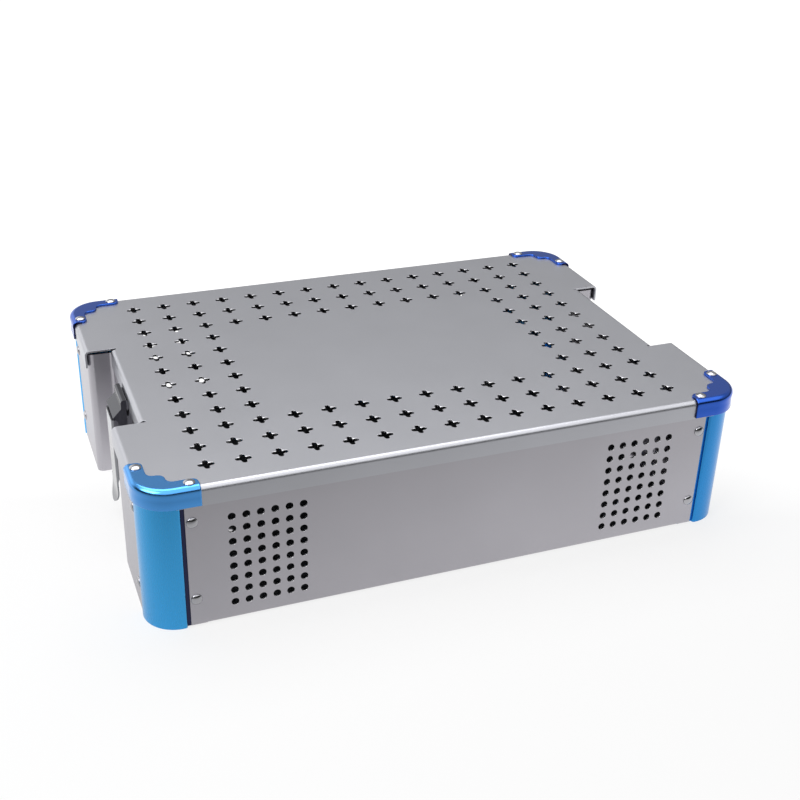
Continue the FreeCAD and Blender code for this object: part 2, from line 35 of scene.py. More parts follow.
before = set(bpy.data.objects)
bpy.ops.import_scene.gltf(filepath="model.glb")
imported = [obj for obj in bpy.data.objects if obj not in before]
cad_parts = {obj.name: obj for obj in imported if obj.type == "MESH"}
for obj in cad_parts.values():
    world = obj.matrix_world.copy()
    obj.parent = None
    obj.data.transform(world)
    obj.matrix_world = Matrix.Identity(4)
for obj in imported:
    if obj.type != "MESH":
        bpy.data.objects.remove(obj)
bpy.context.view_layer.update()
MM = 0.001
UP = Vector((0, 0, 1))
QUARTER_TURN = math.pi / 2
QUARTERS = [(a, b) for a in (-1, 1) for b in (-1, 1)]
FOLD_STEPS = 14            # in the quarter turn of a bend
END_STEP = 1.0             # from the end of a flange or skirt to its next station
SHARP_ANGLE = 0.8          # radians between two faces, above which their edge is sharp
SAME_PLACE = 0.001         # points closer than this are one
TONE_PATCH = 60            # size of the patches in which a metal's tone drifts

# Sizes of the sheets
sheet = 1.5
lid_bend = 3.75
lid_gap = 0.3              # lid flange to case panel
case_bend = 2.5
return_flange = 14.0       # inward fold along the bottom of the front and back panels
edge_break = 0.25          # radius along the cut edges of a sheet

# Lid, with a notch over the recess in each end
notch_x = 211.0            # outer face of the notch flange
notch_y = 64.5
notch_relief = 2.5         # from the end of the notch flange to the side of the notch
notch_setback = 0.8        # how far the relief is cut behind the bend
lid_corner = 21.0

# Cross-shaped holes, in rings around a plain middle
cross_columns = 15
cross_rows = 12
cross_rings = 3
cross_pitch_x = 25.65
cross_pitch_y = 24.65

# Vents in the front and back panels
vent_diameter = 5.5
vent_lip = ((0.4, 0), (0.1, 0.08), (0, 0.2))  # how much wider it is, at depths in the sheet
vent_pitch = 10
vent_columns = 6
vent_rows = 8
vent_group_middle = 144.5  # from the middle of the panel to the middle of a group
vent_top_row = 83.65
fold_stop = 11.3           # from the upright edge of the panel to the end of its fold
wing_low = 0.9             # lower edge of the panel beyond the fold
panel_setback = 28.3       # from a case corner to the upright edge of a panel

# Painted shade in the groove of the front left post: it lies within these distances of the middle of the
# part
painted_shade_x = 204.2
painted_shade_y = 161.2

# Corner brackets of the lid
bracket_wall = 1.5
bracket_leg = 43.2
bracket_leg_width = 12.2
bracket_lobe = 23.2        # from the outer faces to the inner corner
bracket_round = 25.8
bracket_drop = 13.5        # lid top to the lower edge of the skirt
bracket_shoulder = 4.0     # radius between the plate and the skirt
bracket_break = 0.45
skirt_dip = ((0.25, 6), (0.3, 9))  # how far the skirt draws in, at depths under the top
tip_round = 4.5
fillet = 5.0
lobe_round = 5.5

# Rivets. A head is (diameter, rise).
panel_head = (8.0, 1.8)
latch_head = (5.6, 1.0)
panel_rivet_inset = 4.7    # from the upright edge of the panel
panel_rivet_heights = (22.0, 84.2)
bracket_rivet_inset = 7.2  # from the outer face of the bracket
bracket_rivet_from_tip = 6.4
latch_face = 210.7         # outer face of the latch base
latch_rivet_heights = (51.0, 61.0)
latch_rivet_y = 5.5
strike_face = 212.2
strike_rivet_height = 98.6
strike_rivet_y = 8.0

# Places that follow from the frame
lid_low, lid_high = (Vector(corner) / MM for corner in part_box("lid_sheet"))
lid_x, lid_y, lid_top = lid_high
lid_drop = lid_top - lid_low.z
edge_x, case_y, wall_top = Vector(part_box("back_panel")[1]) / MM
case_x = lid_x - sheet - lid_gap
bracket_x = lid_x + bracket_wall
bracket_y = lid_y + bracket_wall
bracket_top = lid_top + bracket_wall


# Outlines

def rounded(corners, steps=8):
    """Closed outline from (x, y, radius) corners, with an arc of that radius at each."""
    points = []
    count = len(corners)
    for index, (x, y, radius) in enumerate(corners):
        corner = Vector((x, y))
        if radius <= 0:
            points.append(corner)
            continue
        before = Vector(corners[index - 1][:2])
        after = Vector(corners[(index + 1) % count][:2])
        into = (corner - before).normalized()
        out_of = (after - corner).normalized()
        turn = into.angle(out_of)
        trim = radius * math.tan(turn / 2)
        centre = corner + (out_of - into).normalized() * (radius / math.cos(turn / 2))
        start = corner - into * trim - centre
        side = 1 if into.cross(out_of) > 0 else -1
        for step in range(steps + 1):
            points.append(centre + Matrix.Rotation(side * turn * step / steps, 2) @ start)
    return points


def circle(x, y, diameter, steps):
    """Points of a circle about (x, y)."""
    points = []
    for step in range(steps):
        angle = 2 * math.pi * step / steps
        points.append(Vector((x + diameter / 2 * math.cos(angle), y + diameter / 2 * math.sin(angle))))
    return points


def cross(span, arm, end_round, neck_round):
    """Cross with rounded arms, about the origin."""
    reach = span / 2
    half = arm / 2
    corners = []
    for index in range(4):
        turn = Matrix.Rotation(index * QUARTER_TURN, 2)
        quarter = ((reach, -half, end_round), (reach, half, end_round), (half, half, neck_round))
        for u, v, radius in quarter:
            spot = turn @ Vector((u, v))
            corners.append((spot.x, spot.y, radius))
    return rounded(corners, steps=3)


# Sheet metal

def filled(outline, holes):
    """Flat mesh of the region inside the outline and outside the holes."""
    curve = bpy.data.curves.new("region", "CURVE")
    curve.dimensions = "2D"
    curve.fill_mode = "BOTH"
    for loop in [outline] + holes:
        spline = curve.splines.new("POLY")
        spline.points.add(len(loop) - 1)
        for point, spot in zip(spline.points, loop):
            point.co = (spot[0], spot[1], 0, 1)
        spline.use_cyclic_u = True
    holder = bpy.data.objects.new("region", curve)
    mesh = bpy.data.meshes.new_from_object(holder)
    bpy.data.objects.remove(holder)
    bpy.data.curves.remove(curve)
    return mesh


def add_side(bm, outline, holes, place, depth):
    """Flat side of a sheet, at a depth under its outer side."""
    flat = filled(outline, holes)
    first_vert, first_edge, first_face = len(bm.verts), len(bm.edges), len(bm.faces)
    bm.from_mesh(flat)
    bpy.data.meshes.remove(flat)
    bm.edges.ensure_lookup_table()
    bm.faces.ensure_lookup_table()
    bmesh.ops.beautify_fill(bm, faces=bm.faces[first_face:], edges=bm.edges[first_edge:])
    bm.verts.ensure_lookup_table()
    for vert in bm.verts[first_vert:]:
        vert.co = place(vert.co.x, vert.co.y, depth)


def split_sides(bm, folds, place):
    """Points along the flat sides, where the stations of the folds meet them."""
    share = 0.01  # along the edge; any share will do, as each new point is moved afterwards
    for start, end, *_ in folds:
        inset = (end - start).normalized() * END_STEP
        for depth in (0, sheet):
            ends = place(*start, depth), place(*end, depth)
            for edge in [edge for edge in bm.edges if edge.is_boundary]:
                near, far = sorted(edge.verts, key=lambda vert: (vert.co - ends[0]).length)
                if (near.co - ends[0]).length + (far.co - ends[1]).length > SAME_PLACE:
                    continue
                first = bmesh.utils.edge_split(edge, near, share)[1]
                second = bmesh.utils.edge_split(bm.edges.get((first, far)), far, share)[1]
                first.co = place(*(start + inset), depth)
                second.co = place(*(end - inset), depth)
                break


def add_hole(bm, rings, place):
    """Wall of a hole through rings of (x, y, depth). It takes the second material."""
    levels = [[bm.verts.new(place(*spot)) for spot in ring] for ring in rings]
    for high, low in zip(levels, levels[1:]):
        for index in range(len(high)):
            face = bm.faces.new((high[index - 1], high[index], low[index], low[index - 1]))
            face.smooth = low is not levels[-1]
            face.material_index = 1


def add_fold(bm, start, end, radius, drop, place):
    """Bend and flange along the outline from start to end, as deep as drop."""
    along = (end - start).normalized()
    outward = Vector((along.y, -along.x))
    inset = along * END_STEP
    sides = []
    for reach in (radius, radius - sheet):
        side = []
        for step in range(FOLD_STEPS + 1):
            angle = QUARTER_TURN * step / FOLD_STEPS
            side.append((reach * math.sin(angle), radius - reach * math.cos(angle)))
        side.append((reach, drop))
        sides.append(side)
    section = sides[0] + sides[1][::-1]
    stations = []
    for spot in (start, start + inset, end - inset, end):
        stations.append([bm.verts.new(place(*(spot + outward * out), down)) for out, down in section])
    bm.faces.new(stations[0])
    bm.faces.new(stations[-1][::-1])
    for near, far in zip(stations, stations[1:]):
        for index in range(len(section) - 1):
            face = bm.faces.new((near[index], near[index + 1], far[index + 1], far[index]))
            face.smooth = index < FOLD_STEPS or index > FOLD_STEPS + 2


def is_folded(first, second, folds):
    """Whether a fold runs along the outline's edge between two points."""
    for start, end, *_ in folds:
        forward = (first - start).length + (second - end).length
        backward = (first - end).length + (second - start).length
        if min(forward, backward) < SAME_PLACE:
            return True
    return False


def mark_edges(bm):
    """Marks the sharp edges that are to be broken, but not those of punched holes."""
    weight = bm.edges.layers.float.new("bevel_weight_edge")
    for edge in bm.edges:
        punched = any(face.material_index for face in edge.link_faces)
        if edge.is_manifold and not punched and edge.calc_face_angle() > SHARP_ANGLE:
            edge[weight] = 1


def folded_sheet(outline, holes, folds, place):
    """Closed mesh of a folded sheet. A hole is a list of rings, a fold is (start, end, radius, drop)."""
    bm = bmesh.new()
    add_side(bm, outline, [rings[0] for rings in holes], place, 0)
    add_side(bm, outline, [rings[-1] for rings in holes], place, sheet)
    split_sides(bm, folds, place)
    for rings in holes:
        add_hole(bm, rings, place)
    for start, end, radius, drop in folds:
        add_fold(bm, start, end, radius, drop, place)
    for index, after in enumerate(outline):
        before = outline[index - 1]
        if is_folded(before, after, folds):
            continue
        corners = [(*before, 0), (*after, 0), (*after, sheet), (*before, sheet)]
        bm.faces.new([bm.verts.new(place(*corner)) for corner in corners])
    bmesh.ops.remove_doubles(bm, verts=bm.verts, dist=SAME_PLACE)
    bmesh.ops.dissolve_degenerate(bm, dist=SAME_PLACE, edges=bm.edges)
    bmesh.ops.recalc_face_normals(bm, faces=bm.faces)
    mark_edges(bm)
    return bm


def piece(name, bm, body, materials, replaced):
    """Object from a mesh in millimetres, riding on a body and standing for its nodes."""
    bmesh.ops.scale(bm, vec=(MM, MM, MM), verts=bm.verts)
    mesh = bpy.data.meshes.new(name)
    bm.to_mesh(mesh)
    bm.free()
    for material in materials:
        mesh.materials.append(material)
    result = bpy.data.objects.new(name, mesh)
    bpy.context.scene.collection.objects.link(result)
    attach(result, body)
    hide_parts(*replaced)
    return result


def break_edges(obj, width):
    """Small radius along the marked edges, which catches the light."""
    bevel = obj.modifiers.new("edge_break", "BEVEL")
    bevel.width = width * MM
    bevel.segments = 2
    bevel.limit_method = "WEIGHT"
    bevel.miter_outer = "MITER_ARC"


# Materials

def colour(code):
    """Linear colour of an sRGB hex value."""
    values = [int(code[i:i + 2], 16) / 255 for i in (1, 3, 5)]
    linear = [v / 12.92 if v <= 0.04045 else ((v + 0.055) / 1.055) ** 2.4 for v in values]
    return (*linear, 1)


def add(tree, kind, settings=None, links=None):
    """Adds a node. Settings are properties or socket values; links are socket: (node, output)."""
    result = tree.nodes.new(kind)
    for key, value in (settings or {}).items():
        if isinstance(key, str) and hasattr(result, key):
            setattr(result, key, value)
        else:
            result.inputs[key].default_value = value
    for key, (source, output) in (links or {}).items():
        tree.links.new(source.outputs[output], result.inputs[key])
    return result


def per_mm(size):
    """Texture scale for features of a size in millimetres, on coordinates in metres."""
    return 1000 / size


def metal(name, shade, roughness, grain, stretch=(1, 1, 1), relief=0.05, mottle=0.05, varied=0.06,
          coat=0, painted_groove_shade=None):
    """Metal with a fine grain in its polish and a slow drift in tone, under a clear coat if wanted.

    The grain is drawn at about half a millimetre, coarser than the real one, so that it shows.
    A painted groove shade is (colour, x, y): a painted shade, standing in for the shadow in a groove, given
    to what lies within x and y of the middle of the part.
    """
    made = bpy.data.materials.new(name)
    made.use_nodes = True
    tree = made.node_tree
    tree.nodes.clear()
    spots = add(tree, "ShaderNodeTexCoord")
    drawn = add(tree, "ShaderNodeMapping", {"Scale": stretch}, {"Vector": (spots, "Object")})
    fine = add(tree, "ShaderNodeTexNoise", {"Scale": per_mm(grain), "Detail": 3.0}, {"Vector": (drawn, 0)})
    slow = add(tree, "ShaderNodeTexNoise", {"Scale": per_mm(TONE_PATCH), "Detail": 2.0},
               {"Vector": (spots, "Object")})
    smoothest, roughest = roughness - varied, roughness + varied
    rough = add(tree, "ShaderNodeMapRange",
                {"From Min": 0.3, "From Max": 0.7, "To Min": smoothest, "To Max": roughest},
                {"Value": (fine, "Fac")})
    light = colour(shade)[:3]
    darker = (*[value * (1 - mottle) for value in light], 1)
    paler = (*[min(1, value * (1 + mottle)) for value in light], 1)
    tone = add(tree, "ShaderNodeMix", {"data_type": "RGBA", 6: darker, 7: paler}, {0: (slow, "Fac")})
    bump = add(tree, "ShaderNodeBump", {"Strength": relief, "Distance": grain * MM},
               {"Height": (fine, "Fac")})
    # Painted shade: within the limits the groove's colour replaces the metal's tone.
    if painted_groove_shade:
        painted_shade_colour, *limits = painted_groove_shade
        surface = add(tree, "ShaderNodeNewGeometry")
        axes = add(tree, "ShaderNodeSeparateXYZ", {}, {0: (surface, "Position")})
        inside = []
        for axis, limit in zip("XY", limits):
            within = {"operation": "COMPARE", 1: 0.0, 2: limit * MM}
            inside.append(add(tree, "ShaderNodeMath", within, {0: (axes, axis)}))
        painted_shade_mask = add(tree, "ShaderNodeMath", {"operation": "MULTIPLY"},
                   {0: (inside[0], 0), 1: (inside[1], 0)})
        tone = add(tree, "ShaderNodeMix", {"data_type": "RGBA", 7: colour(painted_shade_colour)},
                   {0: (painted_shade_mask, 0), 6: (tone, 2)})
    shader = add(tree, "ShaderNodeBsdfPrincipled",
                 {"Metallic": 1.0, "Coat Weight": coat, "Coat Roughness": 0.12, "Coat IOR": 1.6},
                 {"Base Color": (tone, 2), "Roughness": (rough, 0), "Normal": (bump, 0)})
    add(tree, "ShaderNodeOutputMaterial", {}, {"Surface": (shader, 0)})
    return made


def azure_extrusion(name, shade, coat, painted_groove_shade=None):
    """Aluminium extrusion dyed azure in the anodising bath, its grain drawn out along the post."""
    return metal(name, shade, roughness=0.28, grain=0.6, stretch=(1, 1, 0.03), relief=0.01, mottle=0.02,
                 varied=0.02, coat=coat, painted_groove_shade=painted_groove_shade)


def blue_pressing(name, shade, coat):
    """Aluminium pressing dyed in the anodising bath: glossier than the extrusions."""
    return metal(name, shade, roughness=0.2, grain=0.5, relief=0.02, varied=0.03, coat=coat)


# Aluminium sheet, bead-blasted and clear anodised: even light grey with a fine matt grain.
blasted_aluminium = metal("blasted_aluminium", "#C1C2C8", roughness=0.36, grain=0.5)
# The case's sheet: the lid's finish, painted a shade darker and warmer, standing in for the dimmer light on
# the case.
case_aluminium_painted_shade = metal("case_aluminium_painted_shade", "#BAB8BE", roughness=0.36, grain=0.5)
# The rims of punched holes, burnished by the punch: brighter and smoother than the sheet.
burnished_aluminium = metal("burnished_aluminium", "#C8C8CC", roughness=0.2, grain=0.4, varied=0.04)
# The front right post: deep azure under a thin seal, so that metal shows through the colour.
azure_anodised = azure_extrusion("azure_anodised", "#2C8CD2", coat=0.2)
# The back posts: the azure painted paler, under a thick coat, standing in for the pale reflection seen
# along their faces.
azure_painted_pale = azure_extrusion("azure_painted_pale", "#38AAEC", coat=1.0)
# The front left post: the azure painted paler, standing in for the light it reflects, with navy painted
# shade in the groove beside the front panel, where the groove lies in shadow.
azure_painted_groove_shade = azure_extrusion("azure_painted_groove_shade", "#38AAEC", coat=0.45,
                                painted_groove_shade=("#141A46", painted_shade_x, painted_shade_y))
# The brackets: deep blue, darker than the posts.
blue_anodised = blue_pressing("blue_anodised", "#2A5CC4", coat=0.2)
# The front left bracket: the brackets' blue painted lighter, standing in for the brighter reflection it
# catches.
blue_anodised_painted_light = blue_pressing("blue_anodised_painted_light", "#4CA0EC", coat=0.5)
# Cut edges of the brackets: navy painted shade, standing in for the shadow on these end faces.
navy_painted_shade = metal("navy_painted_shade", "#1B2050", roughness=0.3, grain=0.5, relief=0.02)
# Aluminium rivets, bright from the forming tool: they mirror the room.
bright_rivet = metal("bright_rivet", "#B6B6BA", roughness=0.08, grain=0.4, relief=0.02, varied=0.02)
# Stainless steel, barrel polished: smooth and glossy, a darker grey than the aluminium.
polished_steel = metal("polished_steel", "#8C8D91", roughness=0.12, grain=0.4, varied=0.04)
# Steel of the claws: glossy, and painted darker than the levers, as painted shade of the recess they sit
# in.
claw_steel_painted_shade = metal("claw_steel_painted_shade", "#5C5D62", roughness=0.16, grain=0.4, varied=0.04)
# Silicone rubber, moulded: dull and nearly black.
moulded_silicone = bpy.data.materials.new("moulded_silicone")
moulded_silicone.use_nodes = True
silicone = moulded_silicone.node_tree.nodes["Principled BSDF"]
silicone.inputs["Base Color"].default_value = colour("#20242A")
silicone.inputs["Roughness"].default_value = 0.6
silicone.inputs["IOR"].default_value = 1.41


# Lid

def punched_cross(x, y):
    """Rings of a punched cross: the corners between its arms are drawn down with the punch."""
    throat = cross(span=11.6, arm=3.6, end_round=1.75, neck_round=0.6)
    rim = cross(span=11.9, arm=3.9, end_round=1.9, neck_round=0.5)
    neck_half = 0.45       # radians to each side of a corner in which the sheet is drawn down
    neck_spread = 0.6      # how much further out the rim starts there
    rim_drop = 0.05
    neck_drop = 0.4
    steepening = 1.7
    rings = []
    for share in (0, 0.4, 0.75, 1):
        ring = []
        for near, far in zip(throat, rim):
            angle = math.atan2(near.y, near.x) % QUARTER_TURN
            neck = max(0, 1 - abs(angle - QUARTER_TURN / 2) / neck_half)
            far = far + far.normalized() * neck_spread * neck
            spot = far.lerp(near, share)
            ring.append((x + spot.x, y + spot.y, (rim_drop + neck_drop * neck) * share ** steepening))
        rings.append(ring)
    rings.append([(x + spot.x, y + spot.y, sheet) for spot in throat])
    return rings


def lid_crosses():
    """Holes of the lid, without the plain middle."""
    holes = []
    for column in range(cross_columns):
        for row in range(cross_rows):
            if min(column, row, cross_columns - 1 - column, cross_rows - 1 - row) < cross_rings:
                x = (column - (cross_columns - 1) / 2) * cross_pitch_x
                y = (row - (cross_rows - 1) / 2) * cross_pitch_y
                holes.append(punched_cross(x, y))
    return holes


def lid_panel():
    """Lid: top with three rings of crosses, a notch at each end, and flanges between the brackets."""
    flat_x, flat_y = lid_x - lid_bend, lid_y - lid_bend
    flat_notch = notch_x - lid_bend
    notch_fold = notch_y - notch_relief
    side_end, long_end = flat_y - lid_corner, flat_x - lid_corner
    quarter = [
        (flat_notch, notch_fold, 0),
        (flat_notch - notch_setback, notch_fold + notch_setback, 0),
        (flat_notch - notch_setback, notch_y, 0),
        (flat_x, notch_y, 0),
        (flat_x, flat_y, lid_corner),
    ]
    half = quarter + [(-x, y, radius) for x, y, radius in reversed(quarter)]
    outline = rounded(half + [(-x, -y, radius) for x, y, radius in half])
    folds = []
    for a in (-1, 1):
        for b in (-1, 1):
            ends = [Vector((a * flat_x, b * notch_y)), Vector((a * flat_x, b * side_end))]
            if a * b < 0:
                ends.reverse()
            folds.append((*ends, lid_bend, lid_drop))
        notch = (Vector((a * flat_notch, -a * notch_fold)), Vector((a * flat_notch, a * notch_fold)))
        folds.append((*notch, lid_bend, lid_drop))
        long_side = (Vector((a * long_end, a * flat_y)), Vector((-a * long_end, a * flat_y)))
        folds.append((*long_side, lid_bend, lid_drop))

    def place(x, y, depth):
        return Vector((x, y, lid_top - depth))

    bm = folded_sheet(outline, lid_crosses(), folds, place)
    metals = [blasted_aluminium, burnished_aluminium]
    break_edges(piece("lid_panel", bm, "lid", metals, ["lid_sheet"]), edge_break)


lid_panel()


# Long panels

def vent_rings(x, z):
    """Rings of a round vent, from its burnished rim to the back of the sheet."""
    rings = []
    for grow, depth in (*vent_lip, (0, sheet)):
        loop = circle(x, z, vent_diameter + grow, steps=20)
        rings.append([(spot.x, spot.y, depth) for spot in loop])
    return rings


def long_panel(name, side, node):
    """Front or back panel with round vents and the fold under the base plate."""
    fold_x = edge_x - fold_stop
    outline = rounded([
        (-edge_x, wing_low, 0),
        (-fold_x, wing_low, 0),
        (-fold_x, case_bend, 0),
        (fold_x, case_bend, 0),
        (fold_x, wing_low, 0),
        (edge_x, wing_low, 0),
        (edge_x, wall_top, 0),
        (-edge_x, wall_top, 0),
    ])
    holes = []
    for middle in (-vent_group_middle, vent_group_middle):
        for column in range(vent_columns):
            for row in range(vent_rows):
                x = middle + (column - (vent_columns - 1) / 2) * vent_pitch
                holes.append(vent_rings(x, vent_top_row - row * vent_pitch))
    folds = [(Vector((-fold_x, case_bend)), Vector((fold_x, case_bend)), case_bend, return_flange)]

    def place(x, z, depth):
        return Vector((x, side * (case_y - depth), z))

    bm = folded_sheet(outline, holes, folds, place)
    metals = [case_aluminium_painted_shade, burnished_aluminium]
    break_edges(piece(name, bm, "case", metals, [node]), edge_break)


long_panel("front_wall", -1, "front_panel")
long_panel("back_wall", 1, "back_panel")


# Lid brackets

def skirt_profile(steps=8):
    """Profile of the skirt as (inset, height), from the plate down and back up its inner side."""
    low = lid_top - bracket_drop
    profile = []
    for step in range(steps + 1):
        angle = QUARTER_TURN * step / steps
        inset = bracket_shoulder * (1 - math.sin(angle))
        profile.append((inset, bracket_top - bracket_shoulder * (1 - math.cos(angle))))
    profile += [(inset, bracket_top - depth) for inset, depth in skirt_dip]
    return profile + [(0, low), (bracket_wall, low), (bracket_wall, lid_top)]


def skirt_stations(steps=20):
    """Places along the skirt's outer face with the way outward, from one tip to the other."""
    tips = (bracket_leg, bracket_leg - END_STEP)
    middle = Vector((bracket_x - bracket_round, bracket_y - bracket_round))
    stations = [(Vector((bracket_x, bracket_y - reach)), Vector((1, 0))) for reach in tips]
    for step in range(steps + 1):
        angle = QUARTER_TURN * step / steps
        way = Vector((math.cos(angle), math.sin(angle)))
        stations.append((middle + way * bracket_round, way))
    return stations + [(Vector((bracket_x - reach, bracket_y)), Vector((0, 1))) for reach in reversed(tips)]


def bracket(name, side_x, side_y, node, material):
    """Corner bracket: plate with an inner lobe, a rounded shoulder and a skirt around the lid corner."""
    tip_x, tip_y = bracket_x - bracket_leg, bracket_y - bracket_leg
    leg_x, leg_y = bracket_x - bracket_leg_width, bracket_y - bracket_leg_width
    lobe_x, lobe_y = bracket_x - bracket_lobe, bracket_y - bracket_lobe
    # The skirt gives the first and last corner.
    rim = rounded([
        (tip_x, bracket_y, 0),
        (tip_x, leg_y, tip_round),
        (lobe_x, leg_y, fillet),
        (lobe_x, lobe_y, lobe_round),
        (leg_x, lobe_y, fillet),
        (leg_x, tip_y, tip_round),
        (bracket_x, tip_y, 0),
    ])[1:-1]
    bm = bmesh.new()

    def vert(spot, height):
        return bm.verts.new((side_x * spot.x, side_y * spot.y, height))

    rows = []
    for inset, height in skirt_profile():
        rows.append([vert(spot - way * inset, height) for spot, way in skirt_stations()])
    rim_top = [vert(spot, bracket_top) for spot in rim]
    rim_low = [vert(spot, lid_top) for spot in rim]
    for high, low in zip(rows, rows[1:]):
        for index in range(len(high) - 1):
            face = bm.faces.new((high[index], high[index + 1], low[index + 1], low[index]))
            face.smooth = low not in rows[-2:]
    for index in range(len(rim) - 1):
        face = bm.faces.new((rim_top[index], rim_top[index + 1], rim_low[index + 1], rim_low[index]))
        face.smooth = True
    bm.faces.new(rows[0] + rim_top)
    bm.faces.new(rows[-1] + rim_low)
    # The two end faces take the navy painted shade.
    bm.faces.new([row[-1] for row in rows] + [rim_low[0], rim_top[0]]).material_index = 1
    bm.faces.new([row[0] for row in rows] + [rim_low[-1], rim_top[-1]]).material_index = 1
    bmesh.ops.recalc_face_normals(bm, faces=bm.faces)
    mark_edges(bm)
    break_edges(piece(name, bm, "lid", [material, navy_painted_shade], [node]), bracket_break)


for side_x, word_x in ((-1, "left"), (1, "right")):
    for side_y, word_y in ((-1, "front"), (1, "back")):
        node = word_y + "_" + word_x + "_bracket"
        # The front left bracket takes the blue painted lighter, as painted light.
        bracket_blue = blue_anodised_painted_light if node == "front_left_bracket" else blue_anodised
        bracket(node + "_cover", side_x, side_y, node, bracket_blue)


# Rivets

def domes(name, spots, head, body, material, node):
    """Domed rivet heads at (place, outward) spots, each on a narrower foot that reaches into the sheet."""
    diameter, rise = head
    radius = diameter / 2
    foot = radius - 0.15
    foot_depth, foot_height = 0.3, 0.1
    rim = 0.3 * rise
    steps = 28
    rounds = 10
    profile = [(foot, -foot_depth), (foot, 0.0), (radius, foot_height), (radius, rim)]
    ball = (radius ** 2 + (rise - rim) ** 2) / (2 * (rise - rim))
    for index in range(1, rounds):
        reach = radius * (1 - index / rounds)
        profile.append((reach, rise - ball + math.sqrt(ball ** 2 - reach ** 2)))
    bm = bmesh.new()
    for place, outward in spots:
        turn = UP.rotation_difference(outward).to_matrix()
        rings = []
        for reach, height in profile:
            ring = [Vector((spot.x, spot.y, height)) for spot in circle(0, 0, 2 * reach, steps)]
            rings.append([bm.verts.new(place + turn @ spot) for spot in ring])
        bm.faces.new(rings[0][::-1])
        for low, high in zip(rings, rings[1:]):
            for step in range(steps):
                bm.faces.new((low[step - 1], low[step], high[step], high[step - 1]))
        bm.faces.new(rings[-1])
    for face in bm.faces:
        face.smooth = len(face.verts) == 4
    piece(name, bm, body, [material], [node])


def panel_rivets():
    """Two rivets at each upright edge of a panel."""
    long_x = edge_x - panel_rivet_inset
    end_y = case_y - panel_setback - panel_rivet_inset
    spots = []
    for height in panel_rivet_heights:
        for a, b in QUARTERS:
            spots.append((Vector((a * long_x, b * case_y, height)), Vector((0, b, 0))))
            spots.append((Vector((a * case_x, b * end_y, height)), Vector((a, 0, 0))))
    domes("panel_rivet_heads", spots, panel_head, "case", bright_rivet, "panel_rivets")


def bracket_rivets():
    """Two rivets on each lid bracket."""
    far_x = bracket_x - bracket_leg + bracket_rivet_from_tip
    far_y = bracket_y - bracket_leg + bracket_rivet_from_tip
    near_x, near_y = bracket_x - bracket_rivet_inset, bracket_y - bracket_rivet_inset
    spots = []
    for a, b in QUARTERS:
        for x, y in ((far_x, near_y), (near_x, far_y)):
            spots.append((Vector((a * x, b * y, bracket_top)), UP))
    domes("bracket_rivet_heads", spots, panel_head, "lid", bright_rivet, "bracket_rivets")


def latch_rivets(side, word):
    """Four rivets of a latch base and two of its strike."""
    way = Vector((side, 0, 0))
    spots = []
    for y in (-latch_rivet_y, latch_rivet_y):
        for z in latch_rivet_heights:
            spots.append((Vector((side * latch_face, y, z)), way))
    domes(word + "_latch_rivet_heads", spots, latch_head, "case", polished_steel,
          word + "_latch_rivets")
    spots = []
    for y in (-strike_rivet_y, strike_rivet_y):
        spots.append((Vector((side * strike_face, y, strike_rivet_height)), way))
    domes(word + "_strike_rivet_heads", spots, latch_head, "lid", polished_steel,
          word + "_strike_rivets")


panel_rivets()
bracket_rivets()
latch_rivets(-1, "left")
latch_rivets(1, "right")


# Nodes that keep their shape

def dress(node, material):
    """Gives a node of the frame its material."""
    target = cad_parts[node]
    target.data.materials.clear()
    target.data.materials.append(material)


# The end panels and base plate take the case's sheet, painted darker as painted shade.
for node in ("left_end_panel", "right_end_panel", "base_plate"):
    dress(node, case_aluminium_painted_shade)
for word_x, front_dye in (("left", azure_painted_groove_shade), ("right", azure_anodised)):
    dress("front_" + word_x + "_post", front_dye)
    dress("back_" + word_x + "_post", azure_painted_pale)
    # The claws take the steel painted darker, as painted shade of the recess.
    dress(word_x + "_claw", claw_steel_painted_shade)
    for word in ("latch_base", "hinge_pin", "lever", "claw_pin", "strike"):
        dress(word_x + "_" + word, polished_steel)
dress("silicone_mat", moulded_silicone)


# Floor, light and camera

def between(low, high, start, end):
    """Settings of a smooth change from start to end while the input goes from low to high."""
    return {"interpolation_type": "SMOOTHSTEP",
            "From Min": low, "From Max": high, "To Min": start, "To Max": end}


def fading(tree, source, way, settings):
    """Change that follows how far a source of places or directions lies that way."""
    along = add(tree, "ShaderNodeVectorMath", {"operation": "DOT_PRODUCT", 1: way}, {0: source})
    return add(tree, "ShaderNodeMapRange", settings, {"Value": (along, "Value")})


def seen_directly(tree):
    """1 on rays from the camera, from a mirror or through glass, and the node that tells the rays."""
    path = add(tree, "ShaderNodeLightPath")
    mirrored = add(tree, "ShaderNodeMath", {"operation": "MAXIMUM"},
                   {0: (path, "Is Camera Ray"), 1: (path, "Is Glossy Ray")})
    return add(tree, "ShaderNodeMath", {"operation": "MAXIMUM"},
               {0: (mirrored, 0), 1: (path, "Is Transmission Ray")}), path


